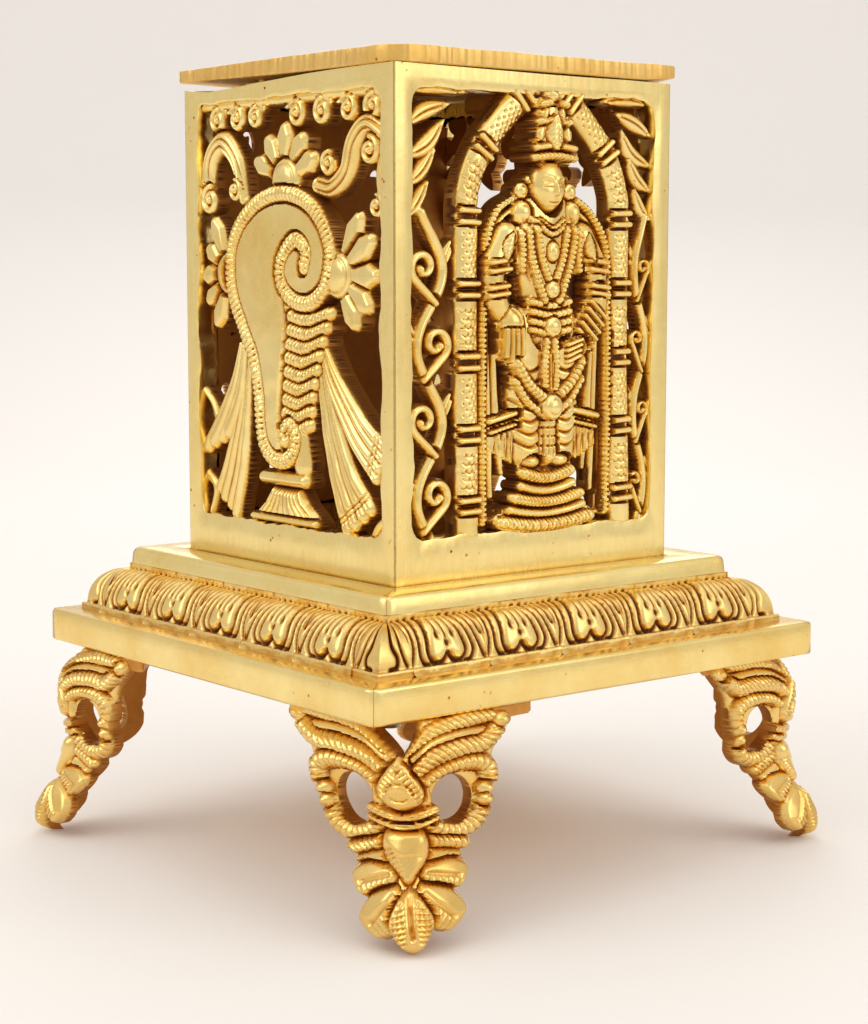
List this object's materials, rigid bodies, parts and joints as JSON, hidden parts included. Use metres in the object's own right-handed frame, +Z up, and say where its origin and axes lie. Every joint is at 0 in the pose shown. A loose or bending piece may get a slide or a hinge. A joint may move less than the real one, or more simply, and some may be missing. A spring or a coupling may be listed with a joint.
{
  "type": "votive candle rack",
  "caption": "Square brass lantern box of openwork relief panels with a lift-off lid, on a stepped base with curved cast feet, holding a votive candle in a cup.",
  "frame": {"origin": "on the floor, under the middle of the base", "axes": "+Z up, -Y towards the figure panel, -X towards the conch panel"},
  "size_m": [0.153, 0.153, 0.19],
  "materials": {
    "base_brass": "cast and polished, with fine pits",
    "foot_brass": "cast, polished on the high spots, dark in the hollows",
    "panel_brass": "cast openwork, polished on the high spots, dark in the hollows",
    "lid_brass": "filed edge, polished top",
    "inner_brass": "tarnished",
    "screw_steel": "zinc-plated"
  },
  "bodies": {
    "base": {"base_slab": "base_brass", "lotus_moulding": "base_brass", "seat_rim": "base_brass", "floor_plate": "inner_brass", "foot_front_left": "foot_brass", "foot_front_right": "foot_brass", "foot_back_right": "foot_brass", "foot_back_left": "foot_brass", "foot_screws": "screw_steel", "floor_screws": "screw_steel", "panel_figure": "panel_brass", "panel_conch": "panel_brass", "panel_wheel": "panel_brass", "panel_lotus": "panel_brass", "panel_screws": "screw_steel", "drip_tray": "inner_brass", "candle_cup": "inner_brass", "cup_screw": "screw_steel", "cup_nut": "screw_steel"},
    "lid": {"lid_plate": "lid_brass", "lid_cleats": "inner_brass", "lid_rivets": "inner_brass"}
  },
  "joints": [
    {"name": "lid_lift", "type": "slide", "parent": "base", "child": "lid", "axis": [0, 0, 1], "range_m": [0, 0.12]}
  ]
}
